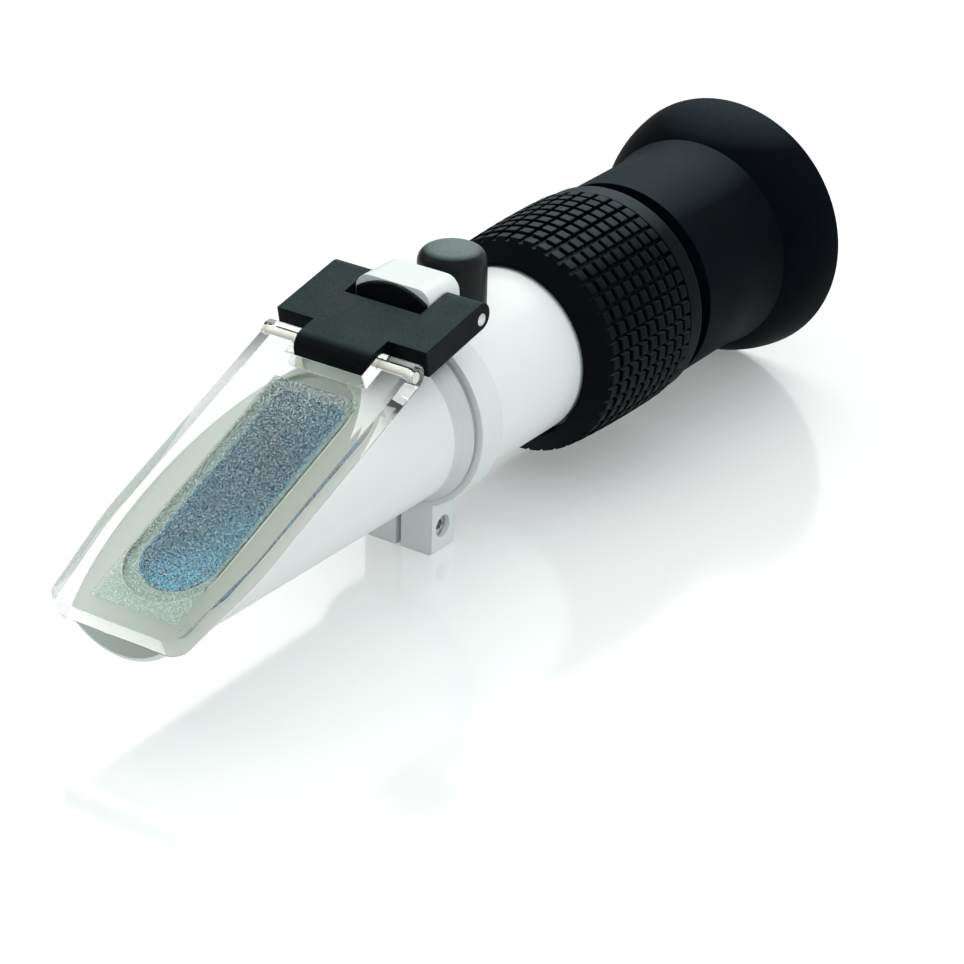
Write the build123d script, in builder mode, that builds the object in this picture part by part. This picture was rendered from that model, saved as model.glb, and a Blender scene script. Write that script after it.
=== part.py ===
from build123d import *
from math import cos, pi, radians, sin
import os

# A handheld brix refractometer, lying on its clamp lug and on the rim of its eyecup.
# Sizes are in millimetres. The optical axis runs along Y, with the prism end at -Y.
# A station is a distance along that axis, counted from the front face of the clamp ring.
# A height is a distance above the axis.

# Fits and gaps
slip_fit = 0.05  # radial clearance of a piece that turns or slides
seat_fit = 0.02  # radial clearance of a piece that is glued, pressed or screwed home
sample_gap = 0.1  # film of juice between the pad and the prism

# Main tube, with a thinner neck that the focus ring turns on
tube_r = 14.4
tube_wall = 1.5
neck_start = 34.0
neck_depth = 0.5
tube_end = 62.0
tube_bore_r = tube_r - tube_wall
neck_r = tube_r - neck_depth

# Prism housing, a tapered nose with a sloping face
nose_rear = -4.2
nose_tip = -68.8
nose_rear_r = 13.4
nose_tip_r = 12.9
nose_bore_r = 6.0
nose_edge_r = 0.8

# Sleeve that joins the housing to the tube and shows as a bare metal band, widening
# from the nose to a narrow groove in front of the clamp ring
band_end = -0.8
band_end_r = 14.7
band_groove_r = 14.0
spigot_r = 11.0
spigot_length = 8.0
sleeve_in_tube = 8.0
sleeve_bore_r = 9.8
stop_thickness = 1.0
stop_hole_r = 5.0

# Eyecup
eyecup_r = 18.2
eyecup_front = 64.0
eyecup_fold = 87.5
eyecup_flare_length = 8.0
eyecup_bell_length = 11.5
eyecup_fold_r = 18.9
eyecup_fold_step = 0.5
eyecup_rim_r = 23.2
eyecup_wall = 1.5
eyecup_bulge = 0.9
eyecup_head_r = 16.0

# Clamp ring, with a lug below and a hinge knuckle above
ring_r = 15.7
ring_width = 5.4
lug_half_width = 6.5
lug_width = 6.0
lug_slit = 1.0
lug_edge_r = 0.6
knuckle_half_width = 7.0
knuckle_front = -2.5
knuckle_under = 16.0
knuckle_top = 23.3
knuckle_shoulder_r = 2.5
knuckle_clear_r = 15.2
bumper_half_width = 6.57
bumper_thickness = 0.7
bumper_under = 16.5
bumper_top = 23.2
bumper_arch_r = 11.6
bumper_edge_r = 0.35
lug_screw_station = 3.0
lug_screw_height = -19.0
lug_screw_r = 1.0
lug_head_r = 1.8
lug_head_length = 1.8
lug_head_depth = 2.6
lug_screw_grip = 3.6
hex_socket_r = 0.9
hex_socket_depth = 1.0

# Hinge link between the ring and the daylight plate
link_pin_station = 1.33
link_pin_height = 19.4
link_tilt = 11.7
link_length = 17.4
link_half_width = 14.0
link_top = 2.7
link_thickness = 4.4
link_bar_front = 14.4
link_notch = 6.2
link_notch_half_width = 7.2
tongue_half_width = 6.94
tongue_nose = 2.7
tongue_round_r = 2.4
link_pin_r = 1.0
plate_pin_r = 0.9

# Daylight plate, lying on the slope of the prism
slope = 22.74
plate_thickness = 4.1
plate_half_width = 13.9
plate_reach = 59.2
plate_straight = 42.0
plate_front_half_width = 11.8
plate_blend_r = 45.0
plate_corner_r = 2.8
plate_notch = 4.3
plate_notch_half_width = 7.3
plate_edge = 0.6
pad_half_width = 7.95
pad_start = 6.84
pad_end = 54.5
pad_thickness = 0.3

# Measuring prism and what it is bedded in
prism_pocket_half_width = 8.2
prism_pocket_length = 49.2
prism_middle = 27.6
prism_flange_thickness = 1.3
prism_proud = 0.25
prism_seal_width = 0.3
prism_body_half_width = 6.1
prism_body_start = 4.8
prism_body_end = 48.8
prism_base_height = -7.5
prism_rear = -22.0
lining_thickness = 0.3
lining_window_r = 5.0

# Calibration screw, its boss and the rubber cap over it
cap_station = 13.5
cap_r = 5.6
cap_wall = 1.1
cap_top = 24.2
cap_round_r = 2.4
cap_crown = 1.0
boss_flange_top = 18.6
boss_spigot_r = 3.0
boss_spigot_bottom = 12.0
screw_shank_r = 1.5
screw_head_r = 3.6
screw_head_height = 1.6
screw_slot_width = 0.8
screw_slot_depth = 0.8
screw_tip_height = 5.0
clip_r = 2.6
clip_thickness = 0.5
clip_gap = 0.1

# Objective lens on its bimetal strip, carried by a block that slides up and down
frame_start = 8.0
frame_end = 19.0
window_half_width = 6.0
window_half_height = 9.0
window_hole_r = 3.3
carrier_half_height = 8.0
carrier_start = 9.5
carrier_end = 17.5
light_hole_r = 4.2
carrier_travel = 0.25  # each way, for half a turn of the screw
strip_thickness = 0.5
strip_half_width = 3.5
strip_tab_top = -5.0
strip_front = 0.5
cell_start = 1.0
cell_end = 5.0
cell_r = 6.5
cell_wall = 1.3
cell_foot_half_width = 3.0
objective_edge = 1.6
objective_bulge = 0.9
small_screw_r = 0.6
small_head_r = 1.1
small_head_height = 0.7
small_screw_length = 2.4
small_screw_spread = 2.0
small_screw_height = -6.4

# Reticle and its holder
reticle_start = 40.0
reticle_thickness = 1.5
reticle_r = 9.0
reticle_view_r = 7.5
reticle_holder_start = 38.0
reticle_holder_end = 44.0
reticle_ring_length = 2.0

# Focus ring and the checkered rubber grip on it
grip_cone_start = 29.8
grip_start = 33.2
grip_end = 60.0
grip_r = 19.3
grip_rear_r = 18.9
grip_front_r = 18.6
grip_crown_station = 52.0
grip_inner_r = 16.5
grip_lip_inner_r = 14.9
grip_ribs = 44
grip_rows = 8
grip_groove_depth = 1.0
grip_groove_width = 0.8
grip_floor_step = 0.1  # the grooves round the grip are deeper than those along it
grip_first_groove = 35.4
grip_row_pitch = 2.6
channel_depth = 1.5
circlip_thickness = 1.0
circlip_r = 15.6
circlip_depth = 0.5

# Eyepiece, which slides in the tube as the focus ring turns
barrel_start = 47.0
barrel_bore_r = 9.5
head_start = 64.6
head_end = 81.0
lens_r = 10.5
lens_seat = 65.2
field_lens_edge = 2.0
eye_lens_edge = 2.0
lens_bulge = 1.6
spacer_length = 6.4
spacer_wall = 1.0
lens_ring_length = 2.6
lens_ring_bore_r = 8.9
guide_pin_station = 53.0
guide_pin_r = 1.0
guide_pin_inner_r = 10.6
guide_pin_outer_r = 15.1
eyepiece_travel = 2.0
o_ring_station = 49.4
o_ring_r = 0.7
o_ring_proud = 0.03

eyecup_flare_start = eyecup_fold - eyecup_flare_length
eyecup_end = eyecup_fold + eyecup_bell_length

# The model's origin is below the middle of the instrument, on the surface that it lies on.
axis_z = eyecup_rim_r
tilt = radians(link_tilt)
plate_pin_station = link_pin_station - link_length * cos(tilt)
plate_pin_height = link_pin_height - link_length * sin(tilt)
plate_half = plate_thickness / 2
rise = radians(slope)
front_station = (
    plate_pin_station - plate_reach * cos(rise) - (plate_half - plate_edge) * sin(rise)
)
ring_y = -(front_station + eyecup_end) / 2

# Drawing planes: side holds stations along x and heights along y, and slope_plane lies on
# the plate's hinge pin with its y axis running up the slope.
side = Plane(origin=(0, ring_y, axis_z), x_dir=(0, 1, 0), z_dir=(1, 0, 0))
optical_axis = Axis((0, ring_y, axis_z), (0, 1, 0))
link_plane = Plane(
    origin=(0, ring_y + link_pin_station, axis_z + link_pin_height),
    x_dir=(0, cos(tilt), sin(tilt)),
    z_dir=(1, 0, 0),
)
slope_plane = Plane(
    origin=(0, ring_y + plate_pin_station, axis_z + plate_pin_height),
    x_dir=(1, 0, 0),
    z_dir=(0, -sin(rise), cos(rise)),
)
slope_side = Plane(origin=slope_plane.origin, x_dir=(0, cos(rise), sin(rise)), z_dir=(1, 0, 0))


def across(station):
    """The plane square to the optical axis at a station, facing the eye."""
    return Plane(origin=(0, ring_y + station, axis_z), x_dir=(-1, 0, 0), z_dir=(0, 1, 0))


def level(height, station):
    """The horizontal plane at a height, centred on a station."""
    return Plane(origin=(0, ring_y + station, axis_z + height))


def half_section(start, end, outer, inner):
    """Draw the half-section of a turned ring in the sketch that is open."""
    with Locations(((start + end) / 2, (outer + inner) / 2)):
        Rectangle(end - start, outer - inner)


def finish(piece, name):
    """Label a finished piece and write it to its own file."""
    piece.label = name
    export_step(piece, f"parts/{name}.step")


os.makedirs("parts", exist_ok=True)

# Heights across the slope, measured from the plate's hinge pin along the slope's normal
pad_face = -plate_half - pad_thickness
prism_face = pad_face - sample_gap
nose_face = prism_face - prism_proud
flange_under = prism_face - prism_flange_thickness
column_depth = 30.0
column_reach = 90.0
pocket_under = flange_under - seat_fit


def prism_column(grow):
    """The wedge under the prism's flange, larger all round by grow."""
    with BuildPart() as column:
        with BuildSketch(slope_plane.offset(flange_under)):
            with Locations((0, -(prism_body_start + prism_body_end) / 2)):
                SlotOverall(
                    prism_body_end - prism_body_start + 2 * grow,
                    2 * (prism_body_half_width + grow),
                    rotation=90,
                )
        extrude(amount=-column_depth)
        with BuildSketch(side):
            with Locations(
                (prism_rear + grow - column_reach / 2, prism_base_height - grow + column_reach / 2)
            ):
                Rectangle(column_reach, column_reach)
        extrude(amount=column_reach, both=True, mode=Mode.INTERSECT)
    return column.part


# Prism housing: a turned nose with a sloping face, a stepped pocket for the prism and a
# bore for the light
lining_room = prism_column(lining_thickness + 2 * seat_fit)
with BuildPart() as prism_housing:
    with BuildSketch(side):
        with BuildLine():
            Polyline(
                (nose_tip, 0),
                (nose_tip, nose_tip_r),
                (nose_rear, nose_rear_r),
                (nose_rear, 0),
                close=True,
            )
        make_face()
    revolve(axis=optical_axis)
    fillet(prism_housing.edges().filter_by(GeomType.CIRCLE).sort_by(Axis.Y)[0], radius=nose_edge_r)
    split(bisect_by=slope_plane.offset(nose_face), keep=Keep.BOTTOM)
    with BuildSketch(slope_plane.offset(nose_face)):
        with Locations((0, -prism_middle)):
            SlotOverall(prism_pocket_length, 2 * prism_pocket_half_width, rotation=90)
    extrude(amount=pocket_under - nose_face, mode=Mode.SUBTRACT)
    add(lining_room, mode=Mode.SUBTRACT)
    with BuildSketch(side):
        half_section(prism_rear, nose_rear, nose_bore_r, 0)
        half_section(
            nose_rear - spigot_length - stop_thickness,
            nose_rear,
            spigot_r + seat_fit,
            0,
        )
    revolve(axis=optical_axis, mode=Mode.SUBTRACT)
finish(prism_housing.part, "prism_housing")

# Light-absorbing lining between the prism and the metal, open to the tube at its rear
with BuildPart() as prism_lining:
    add(prism_column(lining_thickness + seat_fit))
    add(prism_column(seat_fit), mode=Mode.SUBTRACT)
    with BuildSketch(across(prism_rear - lining_thickness)):
        Circle(lining_window_r)
    extrude(amount=3 * lining_thickness, mode=Mode.SUBTRACT)
finish(prism_lining.part, "prism_lining")

# Measuring prism: a flange with round ends, over a wedge whose rear face lets the light out
flange_half_width = prism_pocket_half_width - prism_seal_width
flange_length = prism_pocket_length - 2 * prism_seal_width
with BuildPart() as measuring_prism:
    with BuildSketch(slope_plane.offset(prism_face)):
        with Locations((0, -prism_middle)):
            SlotOverall(flange_length, 2 * flange_half_width, rotation=90)
    extrude(amount=-prism_flange_thickness)
    add(prism_column(0))
finish(measuring_prism.part, "measuring_prism")

# Bead of sealant round the prism's flange
with BuildPart() as prism_seal:
    with BuildSketch(slope_plane.offset(nose_face)):
        with Locations((0, -prism_middle)):
            SlotOverall(
                prism_pocket_length - 2 * seat_fit,
                2 * (prism_pocket_half_width - seat_fit),
                rotation=90,
            )
            SlotOverall(
                flange_length + 2 * seat_fit,
                2 * (flange_half_width + seat_fit),
                rotation=90,
                mode=Mode.SUBTRACT,
            )
    extrude(amount=flange_under - nose_face)
finish(prism_seal.part, "prism_seal")

# Stop disc that keeps stray light out, held by the sleeve's spigot
stop_start = nose_rear - spigot_length - stop_thickness
with BuildPart() as stray_light_stop:
    with BuildSketch(side):
        half_section(stop_start, stop_start + stop_thickness, spigot_r, stop_hole_r)
    revolve(axis=optical_axis)
finish(stray_light_stop.part, "stray_light_stop")

# Joining sleeve: its spigot fits the nose, its band shows, and its rear fits the tube
with BuildPart() as joining_sleeve:
    with BuildSketch(side):
        half_section(nose_rear - spigot_length, nose_rear, spigot_r, sleeve_bore_r)
        half_section(band_end, 0, band_groove_r, sleeve_bore_r)
        half_section(0, sleeve_in_tube, tube_bore_r - seat_fit, sleeve_bore_r)
        with BuildLine():
            Polyline(
                (nose_rear, sleeve_bore_r),
                (nose_rear, nose_rear_r),
                (band_end, band_end_r),
                (band_end, sleeve_bore_r),
                close=True,
            )
        make_face()
    revolve(axis=optical_axis)
finish(joining_sleeve.part, "joining_sleeve")

# Main tube, with the calibration hole on top and the guide slot of the eyepiece below
circlip_start = grip_end + slip_fit
with BuildPart() as main_tube:
    with BuildSketch(side):
        half_section(0, neck_start, tube_r, tube_bore_r)
        half_section(neck_start, tube_end, neck_r, tube_bore_r)
        half_section(
            circlip_start,
            circlip_start + circlip_thickness,
            neck_r,
            neck_r - circlip_depth,
        )
    revolve(axis=optical_axis)
    with BuildSketch(side):
        half_section(
            circlip_start,
            circlip_start + circlip_thickness,
            neck_r,
            neck_r - circlip_depth,
        )
    revolve(axis=optical_axis, mode=Mode.SUBTRACT)
    with BuildSketch(level(0, cap_station)):
        Circle(boss_spigot_r + seat_fit)
    extrude(amount=tube_r, mode=Mode.SUBTRACT)
    with BuildSketch(level(0, guide_pin_station)):
        SlotCenterToCenter(2 * eyepiece_travel, 2 * (guide_pin_r + slip_fit), rotation=90)
    extrude(amount=-tube_r, mode=Mode.SUBTRACT)
finish(main_tube.part, "main_tube")

# Clamp ring: the split ring, the lug that its screw closes, and the hinge knuckle
with BuildPart() as clamp_ring:
    with BuildSketch(across(knuckle_front)) as knuckle_shape:
        with Locations((0, knuckle_under)):
            Rectangle(
                2 * knuckle_half_width,
                knuckle_top - knuckle_under,
                align=(Align.CENTER, Align.MIN),
            )
        fillet(knuckle_shape.vertices().group_by(Axis.Y)[-1], radius=knuckle_shoulder_r)
    extrude(amount=ring_width - knuckle_front)
    with BuildSketch(across(0)):
        Rectangle(2 * knuckle_half_width, knuckle_under, align=(Align.CENTER, Align.MIN))
    extrude(amount=ring_width)
    with BuildSketch(side):
        half_section(knuckle_front, 0, knuckle_clear_r, 0)
    revolve(axis=optical_axis, mode=Mode.SUBTRACT)
    with BuildSketch(side):
        half_section(0, ring_width, ring_r, tube_r)
    revolve(axis=optical_axis)
    with BuildSketch(across(0)) as lug_shape:
        with Locations((0, -axis_z)):
            Rectangle(
                2 * lug_half_width, axis_z - tube_r / 2, align=(Align.CENTER, Align.MIN)
            )
        fillet(lug_shape.vertices().group_by(Axis.Y)[0], radius=lug_edge_r)
    extrude(amount=lug_width)
    with BuildSketch(side):
        half_section(0, lug_width, tube_r + seat_fit, 0)
    revolve(axis=optical_axis, mode=Mode.SUBTRACT)
    with BuildSketch(across(0)):
        with Locations((0, -axis_z / 2)):
            Rectangle(lug_slit, axis_z)
    extrude(amount=lug_width, mode=Mode.SUBTRACT)
    with BuildSketch(side):
        with Locations((link_pin_station, link_pin_height)):
            Circle(link_pin_r + slip_fit)
    extrude(amount=knuckle_half_width, both=True, mode=Mode.SUBTRACT)
    with BuildSketch(side.offset(-lug_screw_grip)):
        with Locations((lug_screw_station, lug_screw_height)):
            Circle(lug_screw_r + seat_fit)
    extrude(amount=lug_screw_grip + lug_half_width, mode=Mode.SUBTRACT)
    with BuildSketch(side.offset(lug_half_width)):
        with Locations((lug_screw_station, lug_screw_height)):
            Circle(lug_head_r + slip_fit)
    extrude(amount=-lug_head_depth, mode=Mode.SUBTRACT)
finish(clamp_ring.part, "clamp_ring")

# Black bumper on the front of the knuckle, between the arms of the link
with BuildPart() as knuckle_bumper:
    with BuildSketch(across(knuckle_front)):
        with Locations((0, bumper_top - bumper_arch_r)):
            Circle(bumper_arch_r)
        with Locations((0, bumper_under)):
            Rectangle(
                2 * bumper_half_width,
                bumper_top - bumper_under,
                align=(Align.CENTER, Align.MIN),
                mode=Mode.INTERSECT,
            )
    extrude(amount=-bumper_thickness)
    fillet(knuckle_bumper.faces().sort_by(Axis.Y)[0].edges(), radius=bumper_edge_r)
finish(knuckle_bumper.part, "knuckle_bumper")

# Screw that closes the clamp, with a hexagon socket
lug_head_seat = lug_half_width - lug_head_depth
with BuildPart() as clamp_screw:
    with BuildSketch(side.offset(-lug_screw_grip)):
        with Locations((lug_screw_station, lug_screw_height)):
            Circle(lug_screw_r)
    extrude(amount=lug_screw_grip + lug_head_seat)
    with BuildSketch(side.offset(lug_head_seat)):
        with Locations((lug_screw_station, lug_screw_height)):
            Circle(lug_head_r)
    extrude(amount=lug_head_length)
    with BuildSketch(side.offset(lug_head_seat + lug_head_length)):
        with Locations((lug_screw_station, lug_screw_height)):
            RegularPolygon(hex_socket_r, 6)
    extrude(amount=-hex_socket_depth, mode=Mode.SUBTRACT)
finish(clamp_screw.part, "clamp_screw")

# Hinge link: a bar with two arms round the knuckle and a tongue towards the plate
link_under = link_top - link_thickness
tongue_front = link_length + tongue_nose
with BuildPart() as hinge_link:
    with BuildSketch(link_plane):
        with Locations((-link_bar_front, link_under)):
            Rectangle(link_bar_front, link_thickness, align=(Align.MIN, Align.MIN))
        with Locations((0, link_top - link_thickness / 2)):
            Circle(link_thickness / 2)
    extrude(amount=link_half_width, both=True)
    with BuildSketch(link_plane) as tongue_shape:
        with Locations((-tongue_front, link_under)):
            Rectangle(
                tongue_front - link_notch, link_thickness, align=(Align.MIN, Align.MIN)
            )
        fillet(
            tongue_shape.vertices().group_by(Axis.X)[0].sort_by(Axis.Y)[-1],
            radius=tongue_round_r,
        )
    extrude(amount=tongue_half_width, both=True)
    with BuildSketch(link_plane):
        with Locations((-link_notch, 0)):
            Rectangle(
                link_notch + 2 * link_top, 4 * link_top, align=(Align.MIN, Align.CENTER)
            )
    extrude(amount=link_notch_half_width, both=True, mode=Mode.SUBTRACT)
    with BuildSketch(link_plane):
        Circle(link_pin_r + seat_fit)
        with Locations((-link_length, 0)):
            Circle(plate_pin_r + seat_fit)
    extrude(amount=link_half_width, both=True, mode=Mode.SUBTRACT)
finish(hinge_link.part, "hinge_link")

# Pin through the link's arms and the knuckle
with BuildPart() as link_pin:
    with BuildSketch(link_plane):
        Circle(link_pin_r)
    extrude(amount=link_half_width, both=True)
finish(link_pin.part, "link_pin")

# Pin through the link's tongue and the ears of the plate
with BuildPart() as plate_pin:
    with BuildSketch(slope_side):
        Circle(plate_pin_r)
    extrude(amount=plate_half_width, both=True)
finish(plate_pin.part, "plate_pin")

# Daylight plate: a clear slab that narrows towards the front, with two hinge ears
with BuildPart() as daylight_plate:
    with BuildSketch(slope_plane.offset(-plate_half)):
        with BuildLine():
            flank = FilletPolyline(
                (plate_half_width, 0),
                (plate_half_width, -plate_straight),
                (plate_front_half_width, -plate_reach),
                (0, -plate_reach),
                radius=[plate_blend_r, plate_corner_r],
            )
            Polyline(flank @ 1, (0, 0), flank @ 0)
        make_face()
        mirror(about=Plane.YZ)
    extrude(amount=plate_thickness)
    chamfer(
        daylight_plate.faces()
        .sort_by(Axis(slope_plane.origin, slope_plane.z_dir))[-1]
        .edges()
        .group_by(Axis(slope_plane.origin, slope_plane.y_dir))[:-1],
        length=plate_edge,
    )
    with BuildSketch(slope_side):
        Circle(plate_half)
    extrude(amount=plate_half_width, both=True)
    with BuildSketch(slope_plane.offset(-plate_half)):
        with Locations((0, -plate_notch)):
            Rectangle(
                2 * plate_notch_half_width,
                plate_notch + 2 * plate_half,
                align=(Align.CENTER, Align.MIN),
            )
    extrude(amount=plate_thickness, mode=Mode.SUBTRACT)
    with BuildSketch(slope_side):
        Circle(plate_pin_r + slip_fit)
    extrude(amount=plate_half_width, both=True, mode=Mode.SUBTRACT)
finish(daylight_plate.part, "daylight_plate")

# Frosted pad that presses the sample flat
with BuildPart() as diffuser_pad:
    with BuildSketch(slope_plane.offset(-plate_half)):
        with Locations((0, -(pad_start + pad_end) / 2)):
            Rectangle(2 * pad_half_width, pad_end - pad_start)
    extrude(amount=-pad_thickness)
finish(diffuser_pad.part, "diffuser_pad")

# Brass boss on the tube that the calibration screw turns in
boss_flange_r = cap_r - cap_wall
with BuildPart() as calibration_boss:
    with BuildSketch(level(0, cap_station)):
        Circle(boss_flange_r)
    extrude(amount=boss_flange_top)
    with BuildSketch(side):
        half_section(neck_start, -neck_start, tube_r + seat_fit, 0)
    revolve(axis=optical_axis, mode=Mode.SUBTRACT)
    with BuildSketch(level(boss_spigot_bottom, cap_station)):
        Circle(boss_spigot_r)
    extrude(amount=boss_flange_top - boss_spigot_bottom)
    with BuildSketch(level(boss_spigot_bottom, cap_station)):
        Circle(screw_shank_r + slip_fit)
    extrude(amount=boss_flange_top - boss_spigot_bottom, mode=Mode.SUBTRACT)
finish(calibration_boss.part, "calibration_boss")

# Calibration screw, slotted, reaching down into the carrier of the objective
head_seat = boss_flange_top + slip_fit
with BuildPart() as calibration_screw:
    with BuildSketch(level(screw_tip_height, cap_station)):
        Circle(screw_shank_r)
    extrude(amount=head_seat - screw_tip_height)
    with BuildSketch(level(head_seat, cap_station)):
        Circle(screw_head_r)
    extrude(amount=screw_head_height)
    with BuildSketch(level(head_seat + screw_head_height, cap_station)):
        Rectangle(2 * screw_head_r, screw_slot_width)
    extrude(amount=-screw_slot_depth, mode=Mode.SUBTRACT)
finish(calibration_screw.part, "calibration_screw")

# Clip that keeps the screw in its boss
clip_top = boss_spigot_bottom - clip_gap
with BuildPart() as screw_clip:
    with BuildSketch(level(clip_top, cap_station)):
        Circle(clip_r)
        Circle(screw_shank_r + seat_fit, mode=Mode.SUBTRACT)
    extrude(amount=-clip_thickness)
finish(screw_clip.part, "screw_clip")

# Rubber cap that lifts off the boss, shaped to the tube below
cap_room_top = head_seat + screw_head_height + cap_wall / 2
with BuildPart() as screw_cap:
    with BuildSketch(side) as cap_section:
        with BuildLine():
            Polyline(
                (cap_station, cap_top),
                (cap_station, 0),
                (cap_station + cap_r, 0),
                (cap_station + cap_r, cap_top - cap_crown),
            )
            RadiusArc(
                (cap_station + cap_r, cap_top - cap_crown),
                (cap_station, cap_top),
                -(cap_r**2 + cap_crown**2) / (2 * cap_crown),
            )
        make_face()
        cap_corner = (cap_station + cap_r, cap_top - cap_crown, 0)
        fillet(cap_section.vertices().sort_by_distance(cap_corner)[0], radius=cap_round_r)
    revolve(axis=Axis((0, ring_y + cap_station, axis_z), (0, 0, 1)))
    with BuildSketch(side):
        half_section(neck_start, -neck_start, tube_r + slip_fit, 0)
    revolve(axis=optical_axis, mode=Mode.SUBTRACT)
    with BuildSketch(level(0, cap_station)):
        Circle(boss_flange_r + slip_fit)
    extrude(amount=cap_room_top, mode=Mode.SUBTRACT)
finish(screw_cap.part, "screw_cap")

# Frame in the tube that guides the carrier of the objective
with BuildPart() as carrier_frame:
    with BuildSketch(across(frame_start)):
        Circle(tube_bore_r - seat_fit)
        Rectangle(2 * window_half_width, 2 * window_half_height, mode=Mode.SUBTRACT)
    extrude(amount=frame_end - frame_start)
    with BuildSketch(level(0, cap_station)):
        Circle(window_hole_r)
    extrude(amount=tube_bore_r, mode=Mode.SUBTRACT)
finish(carrier_frame.part, "carrier_frame")

# Carrier block, moved up and down by the calibration screw
carrier_hole_bottom = screw_tip_height - carrier_travel - slip_fit
with BuildPart() as objective_carrier:
    with BuildSketch(across(carrier_start)):
        Rectangle(2 * (window_half_width - slip_fit), 2 * carrier_half_height)
        Circle(light_hole_r, mode=Mode.SUBTRACT)
        with Locations(
            (-small_screw_spread, small_screw_height), (small_screw_spread, small_screw_height)
        ):
            Circle(small_screw_r + seat_fit, mode=Mode.SUBTRACT)
    extrude(amount=carrier_end - carrier_start)
    with BuildSketch(level(carrier_half_height, cap_station)):
        Circle(screw_shank_r + slip_fit)
    extrude(amount=carrier_hole_bottom - carrier_half_height, mode=Mode.SUBTRACT)
finish(objective_carrier.part, "objective_carrier")

# Bimetal strip, screwed to the carrier by its tab, with the lens cell on its free end
strip_under = -carrier_half_height
strip_over = strip_under + strip_thickness
tab_start = carrier_start - strip_thickness
with BuildPart() as bimetal_strip:
    with BuildSketch(side):
        with Locations((strip_front, strip_under)):
            Rectangle(
                carrier_start - strip_front, strip_thickness, align=(Align.MIN, Align.MIN)
            )
        with Locations((tab_start, strip_under)):
            Rectangle(
                strip_thickness, strip_tab_top - strip_under, align=(Align.MIN, Align.MIN)
            )
    extrude(amount=strip_half_width, both=True)
    with BuildSketch(across(tab_start)):
        with Locations(
            (-small_screw_spread, small_screw_height), (small_screw_spread, small_screw_height)
        ):
            Circle(small_screw_r + seat_fit)
    extrude(amount=strip_thickness, mode=Mode.SUBTRACT)
    with BuildSketch(level(strip_under, (cell_start + cell_end) / 2)):
        Circle(small_screw_r + seat_fit)
    extrude(amount=strip_thickness, mode=Mode.SUBTRACT)
finish(bimetal_strip.part, "bimetal_strip")

# Cell of the objective lens, with a flat foot on the strip
cell_bore_r = cell_r - cell_wall
foot_screw_reach = small_screw_length - strip_thickness
with BuildPart() as objective_cell:
    with BuildSketch(across(cell_start)):
        Circle(cell_r)
        with Locations((0, strip_over)):
            Rectangle(
                2 * cell_foot_half_width, -strip_over, align=(Align.CENTER, Align.MIN)
            )
        Circle(cell_bore_r, mode=Mode.SUBTRACT)
    extrude(amount=cell_end - cell_start)
    with BuildSketch(level(strip_over, (cell_start + cell_end) / 2)):
        Circle(small_screw_r + seat_fit)
    extrude(amount=foot_screw_reach, mode=Mode.SUBTRACT)
finish(objective_cell.part, "objective_cell")

# Objective lens, curved on both sides
objective_r = cell_bore_r - seat_fit
objective_start = (cell_start + cell_end - objective_edge) / 2
with BuildPart() as objective_lens:
    with BuildSketch(side):
        with BuildLine():
            Line((objective_start, objective_r), (objective_start + objective_edge, objective_r))
            ThreePointArc(
                (objective_start + objective_edge, objective_r),
                (objective_start + objective_edge + objective_bulge, 0),
                (objective_start + objective_edge, -objective_r),
            )
            Line((objective_start + objective_edge, -objective_r), (objective_start, -objective_r))
            ThreePointArc(
                (objective_start, -objective_r),
                (objective_start - objective_bulge, 0),
                (objective_start, objective_r),
            )
        make_face()
        split(bisect_by=Plane.XZ, keep=Keep.BOTTOM)
    revolve(axis=optical_axis)
finish(objective_lens.part, "objective_lens")

# Three small screws: two hold the strip's tab, and one holds the cell on the strip
cell_middle = (cell_start + cell_end) / 2
with BuildPart() as strip_screws:
    for spread in (-small_screw_spread, small_screw_spread):
        with BuildSketch(across(tab_start)):
            with Locations((spread, small_screw_height)):
                Circle(small_head_r)
        extrude(amount=-small_head_height)
        with BuildSketch(across(tab_start)):
            with Locations((spread, small_screw_height)):
                Circle(small_screw_r)
        extrude(amount=small_screw_length)
    with BuildSketch(level(strip_under, cell_middle)):
        Circle(small_head_r)
    extrude(amount=-small_head_height)
    with BuildSketch(level(strip_under, cell_middle)):
        Circle(small_screw_r)
    extrude(amount=small_screw_length - seat_fit)
finish(strip_screws.part, "strip_screws")

# Holder of the reticle, the glass reticle and the ring that keeps it
with BuildPart() as reticle_holder:
    with BuildSketch(side):
        half_section(
            reticle_holder_start, reticle_start, tube_bore_r - seat_fit, reticle_view_r
        )
        half_section(
            reticle_start, reticle_holder_end, tube_bore_r - seat_fit, reticle_r + seat_fit
        )
    revolve(axis=optical_axis)
finish(reticle_holder.part, "reticle_holder")

with BuildPart() as reticle:
    with BuildSketch(across(reticle_start)):
        Circle(reticle_r)
    extrude(amount=reticle_thickness)
finish(reticle.part, "reticle")

reticle_back = reticle_start + reticle_thickness
with BuildPart() as reticle_ring:
    with BuildSketch(side):
        half_section(reticle_back, reticle_back + reticle_ring_length, reticle_r, reticle_view_r)
    revolve(axis=optical_axis)
finish(reticle_ring.part, "reticle_ring")

# Focus ring: it turns on the neck, and its channel carries the guide pin
channel_half = guide_pin_r + eyepiece_travel + slip_fit
channel_r = neck_r + slip_fit + channel_depth
with BuildPart() as focus_ring:
    with BuildSketch(side):
        half_section(neck_start + slip_fit, grip_end, grip_inner_r - seat_fit, neck_r + slip_fit)
    revolve(axis=optical_axis)
    with BuildSketch(side):
        half_section(
            guide_pin_station - channel_half, guide_pin_station + channel_half, channel_r, neck_r
        )
    revolve(axis=optical_axis, mode=Mode.SUBTRACT)
finish(focus_ring.part, "focus_ring")

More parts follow.
